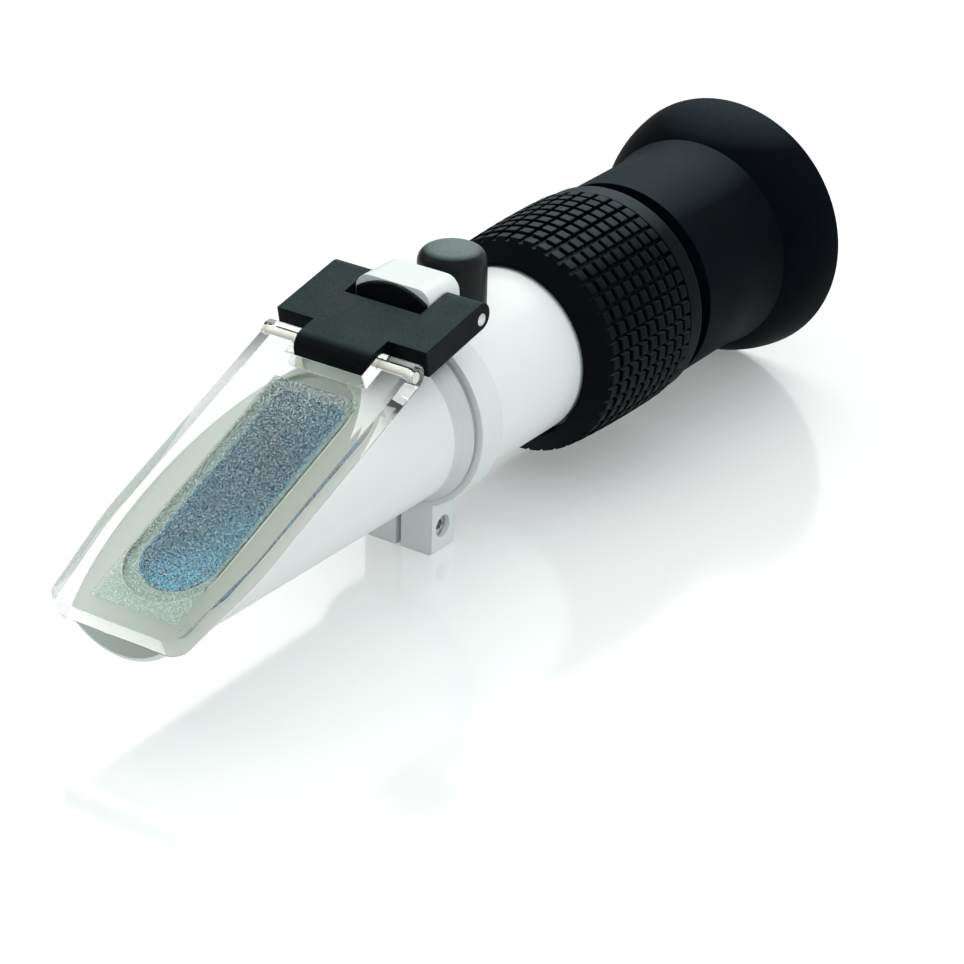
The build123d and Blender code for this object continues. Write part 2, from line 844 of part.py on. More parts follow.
# Rubber grip: rows of square pads that swell towards the crown, with grooves between them
grip_last_groove = grip_first_groove + grip_rows * grip_row_pitch
groove_half = grip_groove_width / 2
groove_floor = grip_rear_r - grip_groove_depth
rib_floor = groove_floor + grip_floor_step


def grip_radius(station):
    """The swelling radius of the grip at a station."""
    end_station, end_r = grip_start, grip_front_r
    if station > grip_crown_station:
        end_station, end_r = grip_end, grip_rear_r
    share = (station - grip_crown_station) / (end_station - grip_crown_station)
    return grip_r - (grip_r - end_r) * share**2


with BuildPart() as rubber_grip:
    with BuildSketch(side):
        half_section(grip_start, neck_start + slip_fit, groove_floor, grip_lip_inner_r)
        with BuildLine():
            Polyline(
                (grip_cone_start, grip_lip_inner_r),
                (grip_start, grip_front_r),
                (grip_start, grip_lip_inner_r),
                close=True,
            )
        make_face()
        half_section(neck_start + slip_fit, grip_end, groove_floor, grip_inner_r)
        half_section(grip_start, grip_first_groove - groove_half, grip_front_r, grip_inner_r)
        for row in range(grip_rows):
            row_middle = grip_first_groove + (row + 0.5) * grip_row_pitch
            pad_half = grip_row_pitch / 2 - groove_half
            half_section(
                row_middle - pad_half,
                row_middle + pad_half,
                grip_radius(row_middle),
                grip_inner_r,
            )
        half_section(grip_last_groove + groove_half, grip_end, grip_rear_r, grip_inner_r)
    revolve(axis=optical_axis)
    with BuildSketch(across(grip_cone_start)):
        with PolarLocations(rib_floor, grip_ribs):
            Rectangle(
                2 * (grip_r - rib_floor), grip_groove_width, align=(Align.MIN, Align.CENTER)
            )
    extrude(amount=grip_last_groove - grip_cone_start, mode=Mode.SUBTRACT)
finish(rubber_grip.part, "rubber_grip")

# Circlip that keeps the focus ring on the neck
with BuildPart() as circlip:
    with BuildSketch(across(circlip_start)):
        Circle(circlip_r)
        Circle(neck_r - circlip_depth + seat_fit, mode=Mode.SUBTRACT)
        with Locations((0, circlip_r)):
            Rectangle(2 * circlip_thickness, circlip_r, mode=Mode.SUBTRACT)
    extrude(amount=circlip_thickness)
finish(circlip.part, "circlip")

# Eyepiece barrel: a sleeve that slides in the tube, and a wider head behind it
o_ring_middle_r = tube_bore_r - o_ring_proud - o_ring_r
with BuildPart() as eyepiece_barrel:
    with BuildSketch(side):
        half_section(barrel_start, head_start, tube_bore_r - slip_fit, barrel_bore_r)
        half_section(head_start, head_end, eyecup_head_r - seat_fit, barrel_bore_r)
    revolve(axis=optical_axis)
    with BuildSketch(side):
        half_section(lens_seat, head_end, lens_r + seat_fit, 0)
        with Locations((o_ring_station, o_ring_middle_r + o_ring_r)):
            Rectangle(2 * (o_ring_r + seat_fit), 4 * o_ring_r + 2 * seat_fit)
    revolve(axis=optical_axis, mode=Mode.SUBTRACT)
    with BuildSketch(level(0, guide_pin_station)):
        Circle(guide_pin_r + seat_fit)
    extrude(amount=-tube_r, mode=Mode.SUBTRACT)
finish(eyepiece_barrel.part, "eyepiece_barrel")

# O-ring that gives the barrel its smooth drag
with BuildPart() as barrel_o_ring:
    with BuildSketch(side):
        with Locations((o_ring_station, o_ring_middle_r)):
            Circle(o_ring_r)
    revolve(axis=optical_axis)
finish(barrel_o_ring.part, "barrel_o_ring")

# Guide pin, from the barrel through the tube's slot into the focus ring's channel
with BuildPart() as guide_pin:
    with BuildSketch(level(-guide_pin_inner_r, guide_pin_station)):
        Circle(guide_pin_r)
    extrude(amount=guide_pin_inner_r - guide_pin_outer_r)
finish(guide_pin.part, "guide_pin")

# Field lens, spacer, eye lens and their threaded ring, one behind the other in the head
field_lens_end = lens_seat + field_lens_edge
eye_lens_start = field_lens_end + spacer_length
eye_lens_end = eye_lens_start + eye_lens_edge
lens_clear_r = lens_r - spacer_wall
lens_curve_r = (lens_clear_r**2 + lens_bulge**2) / (2 * lens_bulge)
with BuildPart() as field_lens:
    with BuildSketch(side):
        with BuildLine():
            Polyline(
                (field_lens_end, lens_clear_r),
                (field_lens_end, lens_r),
                (lens_seat, lens_r),
                (lens_seat, 0),
                (field_lens_end + lens_bulge, 0),
            )
            RadiusArc(
                (field_lens_end + lens_bulge, 0), (field_lens_end, lens_clear_r), -lens_curve_r
            )
        make_face()
    revolve(axis=optical_axis)
finish(field_lens.part, "field_lens")

with BuildPart() as lens_spacer:
    with BuildSketch(side):
        half_section(field_lens_end, eye_lens_start, lens_r, lens_clear_r)
    revolve(axis=optical_axis)
finish(lens_spacer.part, "lens_spacer")

with BuildPart() as eye_lens:
    with BuildSketch(side):
        with BuildLine():
            Polyline(
                (eye_lens_start, lens_clear_r),
                (eye_lens_start, lens_r),
                (eye_lens_end, lens_r),
                (eye_lens_end, 0),
                (eye_lens_start - lens_bulge, 0),
            )
            RadiusArc(
                (eye_lens_start - lens_bulge, 0), (eye_lens_start, lens_clear_r), lens_curve_r
            )
        make_face()
    revolve(axis=optical_axis)
finish(eye_lens.part, "eye_lens")

with BuildPart() as lens_ring:
    with BuildSketch(side):
        half_section(eye_lens_end, eye_lens_end + lens_ring_length, lens_r, lens_ring_bore_r)
    revolve(axis=optical_axis)
finish(lens_ring.part, "lens_ring")

# Rubber eyecup: a sleeve on the head, a fold line and a bell
fold_back_r = eyecup_fold_r - eyecup_fold_step
with BuildPart() as eyecup:
    with BuildSketch(side):
        with BuildLine():
            Line((eyecup_front, eyecup_head_r), (eyecup_front, eyecup_r))
            Line((eyecup_front, eyecup_r), (eyecup_flare_start, eyecup_r))
            TangentArc((eyecup_flare_start, eyecup_r), (eyecup_fold, eyecup_fold_r), tangent=(1, 0))
            Line((eyecup_fold, eyecup_fold_r), (eyecup_fold, fold_back_r))
            SagittaArc((eyecup_fold, fold_back_r), (eyecup_end, eyecup_rim_r), eyecup_bulge)
            Line((eyecup_end, eyecup_rim_r), (eyecup_end, eyecup_rim_r - eyecup_wall))
            SagittaArc((eyecup_end, eyecup_rim_r - eyecup_wall),
                       (eyecup_fold, fold_back_r - eyecup_wall), -eyecup_bulge)
            Polyline((eyecup_fold, fold_back_r - eyecup_wall), (head_end, eyecup_head_r),
                     (eyecup_front, eyecup_head_r))
        make_face()
    revolve(axis=optical_axis)
finish(eyecup.part, "eyecup")

print("instrument length", round(eyecup_end - front_station, 2))
print("ring front face at y", round(ring_y, 3), "axis at z", axis_z)
print("carrier travel per radian of the screw, mm", round(carrier_travel / pi, 6))
print("plate pin at station", round(plate_pin_station, 3), "height", round(plate_pin_height, 3))
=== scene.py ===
# %% [markdown]
# # A handheld refractometer, lying on a glossy white table
# The instrument measures the sugar in a drop of juice. Its solids come from a CAD model that
# is already packed, so this script adds only what the solids lack: finishes, rounded edges, the
# paint behind the prism, the light and the camera. The frame keeps every piece at its real
# size, in metres, with the optical axis along Y and the table at z = 0.

import bmesh
import bpy
import math
from mathutils import Matrix, Vector


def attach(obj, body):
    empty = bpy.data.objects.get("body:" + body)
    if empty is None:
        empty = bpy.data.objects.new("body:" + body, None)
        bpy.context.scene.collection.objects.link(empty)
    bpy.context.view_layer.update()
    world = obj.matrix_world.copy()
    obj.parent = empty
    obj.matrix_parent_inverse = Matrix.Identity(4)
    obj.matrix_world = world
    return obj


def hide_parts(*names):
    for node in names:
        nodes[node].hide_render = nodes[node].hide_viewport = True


MM = 0.001
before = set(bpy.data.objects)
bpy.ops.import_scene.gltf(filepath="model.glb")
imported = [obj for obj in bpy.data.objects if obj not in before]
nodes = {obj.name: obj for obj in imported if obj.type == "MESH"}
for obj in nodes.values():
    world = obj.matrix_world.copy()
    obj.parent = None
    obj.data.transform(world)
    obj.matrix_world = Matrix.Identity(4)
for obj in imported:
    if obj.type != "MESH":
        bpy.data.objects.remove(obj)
scene = bpy.context.scene
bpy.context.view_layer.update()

# %% [markdown]
# ## The camera
# The view is from in front and to the right, a little above the instrument, with a long lens. A
# camera can be turned by three Euler angles, but those are hard to guess. It is set here from
# where it stands and from the directions of its right and its up: with the direction of its
# back they are the columns of its rotation matrix. A long lens keeps the near end from looking
# too big.

# %% Camera
camera_place = Vector((277.80, -406.79, 252.79)) * MM
camera_right = Vector((0.82445, 0.56537, 0.02536))
camera_up = Vector((-0.27230, 0.35700, 0.89353))
camera_back = camera_right.cross(camera_up)

camera_data = bpy.data.cameras.new("long_lens")
camera_data.lens = 126.97
camera_data.sensor_width = 36
camera_data.clip_start = 0.01
camera = bpy.data.objects.new("camera", camera_data)
camera_turn = Matrix((camera_right, camera_up, camera_back)).transposed()
camera.matrix_world = Matrix.Translation(camera_place) @ camera_turn.to_4x4()
scene.collection.objects.link(camera)
scene.camera = camera
print("camera at", [round(v, 3) for v in camera_place], "looks along", -camera_back)

# %% [markdown]
# ## A finish is a tree of nodes
# Every finish is one material whose main shader is the Principled BSDF, and whose sockets are
# fed by other nodes. The same two jobs come back for each of them, so each gets a helper:
# starting a material, and putting it on the pieces that have it.


# %% Start a finish, and dress pieces in it
def finish_material(name):
    """A new material, with its node tree and its main shader."""
    material = bpy.data.materials.new(name)
    material.use_nodes = True
    return material, material.node_tree, material.node_tree.nodes["Principled BSDF"]


def dress(material, *names):
    """Give these pieces of the instrument this material."""
    for name in names:
        nodes[name].data.materials.clear()
        nodes[name].data.materials.append(material)
    print(material.name, "on", *names)


# %% [markdown]
# ## A grain in millimetres
# No surface is quite even, so nearly every socket follows a noise. A picture could be wrapped
# round each piece instead, but noise needs no unwrapping and shows no seam. It swells about
# once in a unit, which is a metre here, so its scale is worked out from the size that one grain
# should have. It reads object coordinates: these move with the piece, so the pattern doesn't
# swim over it when a hinge opens.


# %% Grain
def grain(tree, size_mm, detail=3.0, stretch=(1, 1, 1)):
    """Noise with grains of size_mm, drawn out along an axis where stretch is small."""
    place = tree.nodes.new("ShaderNodeTexCoord")
    scale = tree.nodes.new("ShaderNodeMapping")
    scale.inputs["Scale"].default_value = stretch
    noise = tree.nodes.new("ShaderNodeTexNoise")
    grain_and_gap = 2 * size_mm * MM
    noise.inputs["Scale"].default_value = 1 / grain_and_gap
    noise.inputs["Detail"].default_value = detail
    tree.links.new(place.outputs["Object"], scale.inputs["Vector"])
    tree.links.new(scale.outputs["Vector"], noise.inputs["Vector"])
    return noise.outputs["Fac"]


# %% [markdown]
# ## From a grain to a colour or a number
# Noise stays mostly between 0.3 and 0.7. A colour ramp turns that reach into two colours with
# all shades between them, and a map range turns it into a number, such as a roughness. A
# narrower reach, such as 0.45 to 0.6, gives harder flecks.


# %% Between two colours, and between two numbers
def between(tree, driver, low, high, start=0.3, end=0.7):
    """A colour that goes from low to high as the driver goes from start to end."""
    ramp = tree.nodes.new("ShaderNodeValToRGB")
    first, last = ramp.color_ramp.elements
    first.position, first.color = start, (*low, 1)
    last.position, last.color = end, (*high, 1)
    tree.links.new(driver, ramp.inputs["Fac"])
    return ramp.outputs["Color"]


def spread(tree, driver, low, high, start=0.3, end=0.7):
    """A number that goes from low to high as the driver goes from start to end."""
    reach = tree.nodes.new("ShaderNodeMapRange")
    reach.inputs["From Min"].default_value = start
    reach.inputs["From Max"].default_value = end
    reach.inputs["To Min"].default_value = low
    reach.inputs["To Max"].default_value = high
    tree.links.new(driver, reach.inputs["Value"])
    return reach.outputs["Result"]


# %% [markdown]
# ## Soft edges and a fine relief
# A real edge always has a small round, and that round catches the light. It could be modelled
# with a bevel modifier, but these solids are exact and stay so. The Bevel node rounds only the
# direction that the surface seems to face. A Bump node then tilts that direction by the grain,
# which is enough for a relief of a few microns.


# %% Soft edges and bump
def soft_edges(tree, radius_mm):
    """A normal that rounds sharp edges by radius_mm, without changing the mesh."""
    bevel = tree.nodes.new("ShaderNodeBevel")
    bevel.samples = 4
    bevel.inputs["Radius"].default_value = radius_mm * MM
    return bevel.outputs["Normal"]


def bump(tree, driver, depth_mm, strength, normal=None):
    """A normal tilted by the driver, as if it were a relief of depth_mm."""
    relief = tree.nodes.new("ShaderNodeBump")
    relief.inputs["Strength"].default_value = strength
    relief.inputs["Distance"].default_value = depth_mm * MM
    tree.links.new(driver, relief.inputs["Height"])
    if normal is not None:
        tree.links.new(normal, relief.inputs["Normal"])
    return relief.outputs["Normal"]


# %% [markdown]
# ## White lacquer on the tube and the clamp ring
# The tube is aluminium with a satin white lacquer, and the clamp ring is a casting with a
# duller coat. One plain white would look like paper. Real lacquer has a very fine orange peel,
# and its roughness drifts a little. A relief of four microns with a grain of half a millimetre
# gives the peel, and a weak clear coat on top gives the soft shine.


# %% White lacquer
def white_lacquer(name, light, shade, roughness, peel_mm):
    """Satin lacquer with a fine orange peel."""
    material, tree, shader = finish_material(name)
    cloud = grain(tree, size_mm=9.0, detail=2.0)
    peel = grain(tree, size_mm=peel_mm, detail=2.0)
    tree.links.new(between(tree, cloud, shade, light), shader.inputs["Base Color"])
    tree.links.new(spread(tree, cloud, roughness, roughness + 0.08), shader.inputs["Roughness"])
    peeled = bump(tree, peel, depth_mm=0.004, strength=0.6, normal=soft_edges(tree, 0.25))
    tree.links.new(peeled, shader.inputs["Normal"])
    shader.inputs["Coat Weight"].default_value = 0.25
    shader.inputs["Coat Roughness"].default_value = 0.22
    return material


WHITE = (0.895, 0.905, 0.90)
SHADED_WHITE = (0.87, 0.885, 0.88)
lacquer = white_lacquer("white_lacquer", WHITE, SHADED_WHITE, roughness=0.36, peel_mm=0.5)
dress(lacquer, "main_tube")
casting = white_lacquer(
    "lacquered_casting", (0.84, 0.86, 0.855), (0.80, 0.83, 0.82), roughness=0.42, peel_mm=0.35
)
dress(casting, "clamp_ring")

# %% [markdown]
# ## Bare alloy on the nose's flat faces
# The nose has the same lacquer, but its sloping face and its front look grey and slightly
# green, like bare alloy. The faces could be picked by hand and given a second material. It is
# simpler to let the shader find them: each looks along one known direction, so the dot product
# of the surface normal with that direction is nearly 1 there and less anywhere else. The alloy
# colour darkens to the right, which is painted shade. The front face lies in shade, and its
# grey is partly painted shade too.


# %% Helpers to find faces and to lay one shader over another
def along(tree, vector, direction):
    """How far a vector looks along a direction: 1 for fully, -1 for the opposite."""
    product = tree.nodes.new("ShaderNodeVectorMath")
    product.operation = "DOT_PRODUCT"
    product.inputs[1].default_value = direction
    tree.links.new(vector, product.inputs[0])
    return product.outputs["Value"]


def larger(tree, first, second):
    """The larger of two numbers."""
    most = tree.nodes.new("ShaderNodeMath")
    most.operation = "MAXIMUM"
    tree.links.new(first, most.inputs[0])
    tree.links.new(second, most.inputs[1])
    return most.outputs[0]


def lay_over(tree, share, under, over):
    """Show the shader over instead of the shader under, by a share."""
    mix = tree.nodes.new("ShaderNodeMixShader")
    tree.links.new(share, mix.inputs["Fac"])
    tree.links.new(under.outputs[0], mix.inputs[1])
    tree.links.new(over.outputs[0], mix.inputs[2])
    tree.links.new(mix.outputs[0], tree.nodes["Material Output"].inputs["Surface"])


# %% The nose
nose_lacquer = white_lacquer("nose_lacquer", WHITE, SHADED_WHITE, roughness=0.36, peel_mm=0.5)
tree = nose_lacquer.node_tree
nose_slope = math.radians(22.74)
nose_half_width = 8 * MM
up_the_slope = (0, -math.sin(nose_slope), math.cos(nose_slope))
to_the_front = (0, -1, 0)

place = tree.nodes.new("ShaderNodeTexCoord")
on_slope = along(tree, place.outputs["Normal"], up_the_slope)
# The front face lies in shade, and its grey alloy colour is partly painted shade.
on_front = along(tree, place.outputs["Normal"], to_the_front)
flat = spread(tree, larger(tree, on_slope, on_front), 0, 1, start=0.992, end=0.998)

alloy = tree.nodes.new("ShaderNodeBsdfPrincipled")
across = tree.nodes.new("ShaderNodeSeparateXYZ")
tree.links.new(place.outputs["Object"], across.inputs[0])
# Painted shade: the alloy colour darkens from the left of the nose to its right.
painted_shade_across = spread(tree, across.outputs["X"], 0, 1, start=-nose_half_width, end=nose_half_width)
alloy_with_painted_shade = between(tree, painted_shade_across, (0.54, 0.59, 0.55), (0.38, 0.43, 0.38), start=0, end=1)
tree.links.new(alloy_with_painted_shade, alloy.inputs["Base Color"])
marks = grain(tree, size_mm=0.3, stretch=(1, 0.05, 0.05))
tree.links.new(bump(tree, marks, depth_mm=0.004, strength=0.5), alloy.inputs["Normal"])
alloy.inputs["Roughness"].default_value = 0.5
lay_over(tree, flat, tree.nodes["Principled BSDF"], alloy)
dress(nose_lacquer, "prism_housing")

# %% [markdown]
# ## Turned and blackened metal
# The joining band is turned aluminium: its tool marks run round the axis. An anisotropic shader
# would only stretch the highlight. Noise that is drawn out in x and z, and stays fine along y,
# gives the rings themselves. The focus ring and the retaining ring are turned too, the pieces
# inside are anodised black, and the boss and the screw under the cap are brass. The pin in the
# clear plate looks paler and softer than the others, so it gets a turned metal of its own.


# %% Turned metals
def turned_metal(name, light, dark, roughness, metallic=1.0):
    """Metal with fine tool marks round the optical axis."""
    material, tree, shader = finish_material(name)
    rings = grain(tree, size_mm=0.25, stretch=(0.04, 1, 0.04))
    cloud = grain(tree, size_mm=4.0)
    tree.links.new(between(tree, rings, dark, light), shader.inputs["Base Color"])
    tree.links.new(spread(tree, cloud, roughness, roughness + 0.12), shader.inputs["Roughness"])
    marked = bump(tree, rings, depth_mm=0.002, strength=0.4, normal=soft_edges(tree, 0.15))
    tree.links.new(marked, shader.inputs["Normal"])
    shader.inputs["Metallic"].default_value = metallic
    return material


aluminium = turned_metal("turned_aluminium", (0.60, 0.635, 0.63), (0.56, 0.595, 0.59), 0.4)
dress(aluminium, "joining_sleeve", "focus_ring", "circlip")
anodised = turned_metal(
    "black_anodised", (0.035, 0.036, 0.04), (0.022, 0.023, 0.026), 0.45, metallic=0.3
)
dress(
    anodised, "stray_light_stop", "carrier_frame", "reticle_holder", "reticle_ring",
    "objective_carrier", "objective_cell", "eyepiece_barrel", "lens_spacer", "lens_ring",
)
brass = turned_metal("turned_brass", (0.73, 0.58, 0.31), (0.60, 0.46, 0.22), 0.30)
dress(brass, "calibration_boss", "calibration_screw")
pale_pin = turned_metal("pale_pin", (0.86, 0.84, 0.78), (0.74, 0.72, 0.66), 0.42, metallic=0.4)
dress(pale_pin, "plate_pin")

# %% [markdown]
# ## Mottled steel
# The other pin and the screws are steel, and their cut ends have light and dark patches. The
# colour and the roughness could each have a noise of their own, but on real steel a pale patch
# is also a rougher one. So one coarse noise drives both, and a fine one gives the relief of the
# cut.


# %% Mottled steel
def mottled_steel(name):
    """Steel whose cut ends are mottled and a little rough."""
    material, tree, shader = finish_material(name)
    mottle = grain(tree, size_mm=0.5, detail=5.0)
    fine = grain(tree, size_mm=0.12)
    patches = between(tree, mottle, (0.38, 0.39, 0.39), (0.74, 0.75, 0.74), start=0.35, end=0.62)
    tree.links.new(patches, shader.inputs["Base Color"])
    tree.links.new(spread(tree, mottle, 0.22, 0.5), shader.inputs["Roughness"])
    cut = bump(tree, fine, depth_mm=0.01, strength=0.5, normal=soft_edges(tree, 0.15))
    tree.links.new(cut, shader.inputs["Normal"])
    shader.inputs["Metallic"].default_value = 1.0
    return material


steel = mottled_steel("mottled_steel")
dress(
    steel, "link_pin", "clamp_screw", "guide_pin", "screw_clip", "strip_screws", "bimetal_strip"
)

# %% [markdown]
# ## Painted light on what looks up
# The black pieces are clearly paler on top, where the light falls on them. Stronger lamps
# would make them paler too, but would bleach the white tube, so that light is painted. The z
# part of the normal tells how far a face looks up, so it blends the black into a paler colour
# of painted light. It is the piece's own normal, so the painted light stays on the same faces
# when the piece swings.


# %% Painted light on top
def with_painted_top_light(tree, colour, painted_top_light, start, end):
    """The colour, going over to a paler colour of painted light on the faces that look up."""
    place = tree.nodes.new("ShaderNodeTexCoord")
    facing = tree.nodes.new("ShaderNodeSeparateXYZ")
    tree.links.new(place.outputs["Normal"], facing.inputs[0])
    blend = tree.nodes.new("ShaderNodeMixRGB")
    tree.links.new(spread(tree, facing.outputs["Z"], 0, 1, start, end), blend.inputs["Fac"])
    tree.links.new(colour, blend.inputs["Color1"])
    tree.links.new(painted_top_light, blend.inputs["Color2"])
    return blend.outputs["Color"]


# %% [markdown]
# ## Black hinge link
# The link is a casting with a matt black coat, and so is the small bumper in front of the
# knuckle. The coat has a fine grain that shows as grey specks. A grain could be left to the
# relief alone, but then the specks would hardly show, so the colour and the painted light on
# top follow the same fine noise. The specular level is low, because a white room would
# otherwise turn the black into grey.

# %% Black coat
black_coat, tree, shader = finish_material("black_coat")
speck = grain(tree, size_mm=0.14, detail=4.0)
cloud = grain(tree, size_mm=3.0)
coat = between(tree, speck, (0.0006, 0.001, 0.0016), (0.002, 0.004, 0.006))
# Painted light: the paler colour of the faces that look up, flecked by the grain.
painted_top_light = between(tree, speck, (0.009, 0.020, 0.022), (0.027, 0.046, 0.048))
tree.links.new(with_painted_top_light(tree, coat, painted_top_light, start=0.75, end=0.97), shader.inputs["Base Color"])
tree.links.new(spread(tree, cloud, 0.5, 0.62), shader.inputs["Roughness"])
grained = bump(tree, speck, depth_mm=0.02, strength=0.5, normal=soft_edges(tree, 0.3))
tree.links.new(grained, shader.inputs["Normal"])
shader.inputs["Specular IOR Level"].default_value = 0.1
dress(black_coat, "hinge_link", "knuckle_bumper")

# %% [markdown]
# ## Rubber
# Three rubbers show: the dull checkered grip, the smooth eyecup, and the small cap with a satin
# top. All are near black. Each could be built by hand, but one function keeps them alike and
# lists what tells them apart: how rough they are, how much they shine, how pale the painted
# light on their tops is, how coarse their grain is, and how soft their edges are.


# %% Rubber
def rubber(name, dark, light, painted_top_light, roughness, shine, grain_mm, depth_mm, edge_mm):
    """Black rubber with a fine moulded grain, and painted light that turns it grey where it
    looks up.
    """
    material, tree, shader = finish_material(name)
    fine = grain(tree, size_mm=grain_mm, detail=4.0)
    drift = grain(tree, size_mm=6.0, detail=4.0)
    skin = between(tree, drift, dark, light)
    # Painted light: the grey that faces looking up go over to, flecked by the fine grain.
    painted_top_light_grain = between(tree, fine, tuple(0.8 * part for part in painted_top_light), painted_top_light)
    tree.links.new(with_painted_top_light(tree, skin, painted_top_light_grain, start=0.78, end=1.0), shader.inputs["Base Color"])
    tree.links.new(spread(tree, drift, roughness, roughness + 0.1), shader.inputs["Roughness"])
    moulded = bump(tree, fine, depth_mm, strength=0.6, normal=soft_edges(tree, edge_mm))
    tree.links.new(moulded, shader.inputs["Normal"])
    shader.inputs["Specular IOR Level"].default_value = shine
    return material


grip_rubber = rubber(
    "grip_rubber", dark=(0.0004, 0.001, 0.002), light=(0.0014, 0.003, 0.005),
    painted_top_light=(0.045, 0.060, 0.066), roughness=0.5, shine=0.05,
    grain_mm=0.2, depth_mm=0.015, edge_mm=0.6,
)
eyecup_rubber = rubber(
    "eyecup_rubber", dark=(0.0004, 0.001, 0.0024), light=(0.0014, 0.003, 0.0055),
    painted_top_light=(0.026, 0.036, 0.042), roughness=0.55, shine=0.03,
    grain_mm=0.3, depth_mm=0.01, edge_mm=0.4,
)
# The cap's pale colour on top is a painted highlight.
cap_rubber = rubber(
    "cap_rubber", dark=(0.0008, 0.0014, 0.002), light=(0.002, 0.0035, 0.004),
    painted_top_light=(0.14, 0.20, 0.19), roughness=0.32, shine=0.18,
    grain_mm=0.25, depth_mm=0.006, edge_mm=0.3,
)
dress(grip_rubber, "rubber_grip", "barrel_o_ring")
dress(eyecup_rubber, "eyecup")
dress(cap_rubber, "screw_cap")

# %% [markdown]
# ## Glass and clear plastic
# The prism and the lenses are glass, and the daylight plate is clear acrylic. Both are the main
# shader with full transmission and a faint tint. Their index of refraction could be the real
# 1.5, but in the picture hardly anything shifts behind the plate, so it is 1.2. Rays on their
# way to a lamp can't bend, so a clear piece would throw a full shadow. For those rays alone, a
# plain see-through shader lies over the glass.


# %% Clear materials
def lit_through(tree, shader, tint):
    """Let lamps shine through a clear material, dimmed only by its tint."""
    path = tree.nodes.new("ShaderNodeLightPath")
    thin = tree.nodes.new("ShaderNodeBsdfTransparent")
    thin.inputs["Color"].default_value = (*tint, 1)
    lay_over(tree, path.outputs["Is Shadow Ray"], shader, thin)


def clear(name, tint, edge_mm):
    """A clear material with a faint tint and a trace of haze."""
    material, tree, shader = finish_material(name)
    drift = grain(tree, size_mm=5.0, detail=2.0)
    fine = grain(tree, size_mm=1.2, detail=2.0)
    paler = tuple(part + 0.01 for part in tint)
    tree.links.new(between(tree, drift, tint, paler), shader.inputs["Base Color"])
    tree.links.new(spread(tree, fine, 0.0, 0.015), shader.inputs["Roughness"])
    tree.links.new(soft_edges(tree, edge_mm), shader.inputs["Normal"])
    shader.inputs["Transmission Weight"].default_value = 1.0
    shader.inputs["IOR"].default_value = 1.2
    lit_through(tree, shader, tint)
    return material


glass = clear("optical_glass", tint=(0.95, 0.98, 0.97), edge_mm=0.1)
dress(glass, "measuring_prism", "objective_lens", "field_lens", "eye_lens", "reticle")
acrylic = clear("clear_acrylic", tint=(0.975, 0.985, 0.98), edge_mm=0.35)
dress(acrylic, "daylight_plate")

# %% [markdown]
# ## Frosted pad
# A thin frosted pad under the plate spreads the juice and softens the daylight. Over the dark
# prism it shows as pale flecks. A rough glass would blur what lies behind it evenly. Here one
# fine noise does it: where it is high, the pad is rougher and lets less light through, so that
# single flecks can be seen.

# %% Frosted pad
frosted, tree, shader = finish_material("frosted_pad")
fleck = grain(tree, size_mm=0.13, detail=1.0)
pad_colour = between(tree, fleck, (0.90, 0.93, 0.89), (0.86, 0.97, 0.99), start=0.45, end=0.65)
tree.links.new(pad_colour, shader.inputs["Base Color"])
tree.links.new(spread(tree, fleck, 0.04, 0.14), shader.inputs["Roughness"])
tree.links.new(bump(tree, fleck, depth_mm=0.006, strength=0.5), shader.inputs["Normal"])
let_through = spread(tree, fleck, 1.0, 0.80, start=0.52, end=0.62)
tree.links.new(let_through, shader.inputs["Transmission Weight"])
shader.inputs["IOR"].default_value = 1.14
lit_through(tree, shader, (0.9, 0.94, 0.92))
dress(frosted, "diffuser_pad")

# %% [markdown]
# ## Blue paint behind the prism
# Seen through its sloping face the prism is deep blue: that is the paint on its lower faces.
# Its lighter blue specks are painted glints of the frosted pad above. The lining of the solids
# stands a hair off the glass, so the glass would mirror the room there and hide the blue. The
# glass itself could be coloured, but then its edges would be blue too. So the paint is a copy of
# the lining, which a Displace modifier grows by 0.05 mm, just into the glass.

# %% Blue paint
blue_paint, tree, shader = finish_material("blue_lining")
glint_specks = grain(tree, size_mm=0.15, detail=1.0)
# Painted glints: the lighter blue specks stand in for glints of the frosted pad.
blue_with_painted_glints = between(tree, glint_specks, (0.004, 0.05, 0.13), (0.03, 0.56, 0.86), start=0.44, end=0.58)
tree.links.new(blue_with_painted_glints, shader.inputs["Base Color"])
tree.links.new(spread(tree, glint_specks, 0.5, 0.7), shader.inputs["Roughness"])
brushed = bump(tree, grain(tree, size_mm=0.3), depth_mm=0.02, strength=0.5)
tree.links.new(brushed, shader.inputs["Normal"])

lining = nodes["prism_lining"]
paint = bpy.data.objects.new("prism_paint", lining.data.copy())
paint.data.materials.clear()
paint.data.materials.append(blue_paint)
paint.matrix_world = lining.matrix_world.copy()
scene.collection.objects.link(paint)
grown = paint.modifiers.new("grown", "DISPLACE")
grown.mid_level = 0
grown.strength = 0.05 * MM
print("paint grown by", round(grown.strength / MM, 3), "mm")

# %% [markdown]
# ## A disc of painted shade over the lining's window
# The lining has a round window at its rear, where the real instrument lets the light on to the
# eyepiece. Through it the picture would show the lit inside of the tube. The real instrument
# shows only shade there, so the disc is painted shade in the blue of the paint. The hole's edge
# could be filled in the mesh by hand, but a disc over it is simpler. The lining is 0.3 mm thick
# and stands 0.02 mm off the glass. The disc lies 0.33 mm in front of the lining's rear, which is
# just inside the glass too.

# %% Closed window
axis_height = 23.2 * MM
disc_radius = 5.4 * MM
disc_inset = 0.33 * MM
window = bmesh.new()
window.from_mesh(paint.data)
lining_rear = max(corner.co.y for corner in window.verts)
disc_place = Matrix.Translation((0, lining_rear - disc_inset, axis_height))
upright = Matrix.Rotation(math.pi / 2, 4, "X")
